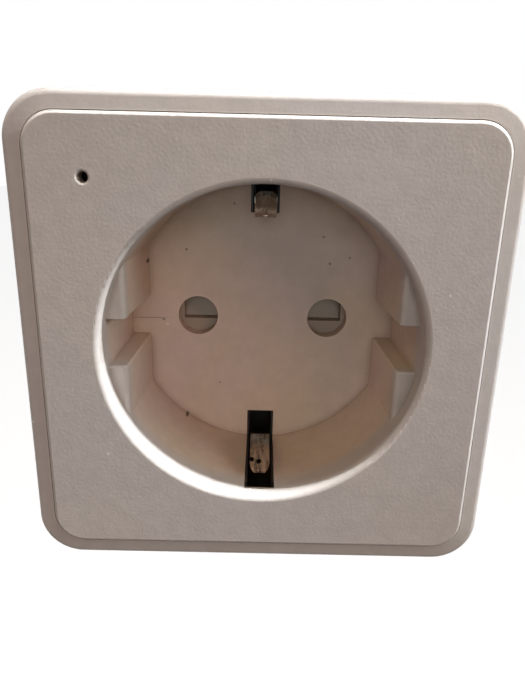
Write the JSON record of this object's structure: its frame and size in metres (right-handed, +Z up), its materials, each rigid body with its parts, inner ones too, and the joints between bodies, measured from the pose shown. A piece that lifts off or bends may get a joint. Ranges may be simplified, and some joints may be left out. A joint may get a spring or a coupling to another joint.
{
  "type": "plug in power meter",
  "caption": "Square plug-in energy meter with an earthed round socket in front, a safety shutter, a reset pinhole and a round two-pin plug behind.",
  "frame": {"origin": "centre of the plug's end face, midway between the two pins, where the pins leave it", "axes": "+Y out of the back along the pins, +Z up, +X to the right seen from the front; the socket faces -Y"},
  "size_m": [0.0582, 0.077, 0.0582],
  "materials": {
    "white_plastic": "moulded housing plastic, warm white, faint grain",
    "shutter_plastic": "moulded, slightly creamier white",
    "screw_steel": "zinc plated",
    "spring_steel": "plain steel",
    "clip_nickel": "nickel plated copper alloy, worn and spotted",
    "pin_nickel": "nickel plated brass",
    "contact_brass": "plain brass",
    "dark_plastic": "black moulded plastic",
    "circuit_board": "green solder mask",
    "yellow_plastic": "moulded box",
    "blue_plastic": "coated",
    "capacitor_can": "sleeved can",
    "coil_copper": "enamelled copper wire"
  },
  "bodies": {
    "housing": {"front_shell": "white_plastic", "socket_plate": "white_plastic", "socket_floor": "white_plastic", "rear_shell": "white_plastic", "case_screws": "screw_steel", "shutter_spring": "spring_steel", "shutter_cover": "shutter_plastic", "cover_screws": "screw_steel", "clip_holder_upper": "dark_plastic", "clip_holder_lower": "dark_plastic", "earth_bracket": "contact_brass", "earth_link": "contact_brass", "plug_earth_strap": "clip_nickel", "live_sleeve": "contact_brass", "neutral_sleeve": "contact_brass", "live_pin": "pin_nickel", "neutral_pin": "pin_nickel", "pin_carrier": "dark_plastic", "neutral_bar": "contact_brass", "live_supply_bar": "contact_brass", "live_output_bar": "contact_brass", "current_shunt": "spring_steel", "main_board": "circuit_board", "board_screws": "screw_steel", "radio_module": "circuit_board", "radio_shield": "screw_steel", "metering_chip": "dark_plastic", "mains_capacitor": "yellow_plastic", "bulk_capacitor": "capacitor_can", "power_transformer": "dark_plastic", "varistor": "blue_plastic", "thermal_fuse": "blue_plastic", "relay_base": "dark_plastic", "relay_case": "blue_plastic", "relay_coil": "coil_copper", "relay_yoke": "spring_steel", "relay_fixed_contact": "contact_brass", "reset_switch_case": "dark_plastic"},
    "shutter": {"shutter": "shutter_plastic"},
    "clip_upper": {"earth_clip_upper": "clip_nickel"},
    "clip_lower": {"earth_clip_lower": "clip_nickel"},
    "armature": {"relay_armature": "spring_steel", "relay_leaf": "contact_brass"},
    "reset_button": {"reset_plunger": "dark_plastic"}
  },
  "joints": [
    {"name": "shutter_slide", "type": "slide", "parent": "housing", "child": "shutter", "axis": [0, 0, -1], "range_m": [0, 0.0058], "stiffness_N_per_m": 60, "springref_m": -0.004, "deforming": ["shutter_spring"]},
    {"name": "clip_upper_flex", "type": "hinge", "parent": "housing", "child": "clip_upper", "pos_m": [0, -0.0373, 0.0215], "axis": [-1, 0, 0], "range_deg": [0, 8], "stiffness_Nm_per_rad": 0.05, "springref_deg": -8.59},
    {"name": "clip_lower_flex", "type": "hinge", "parent": "housing", "child": "clip_lower", "pos_m": [0, -0.0373, -0.0215], "axis": [1, 0, 0], "range_deg": [0, 8], "stiffness_Nm_per_rad": 0.05, "springref_deg": -8.59},
    {"name": "relay_pull_in", "type": "hinge", "parent": "housing", "child": "armature", "pos_m": [0.0044, -0.0242, 0.0196], "axis": [0, 1, 0], "range_deg": [0, 3.2], "stiffness_Nm_per_rad": 0.02, "springref_deg": -8.59},
    {"name": "reset_press", "type": "slide", "parent": "housing", "child": "reset_button", "axis": [0, 1, 0], "range_m": [0, 0.0004], "stiffness_N_per_m": 1500, "springref_m": -0.0003}
  ]
}
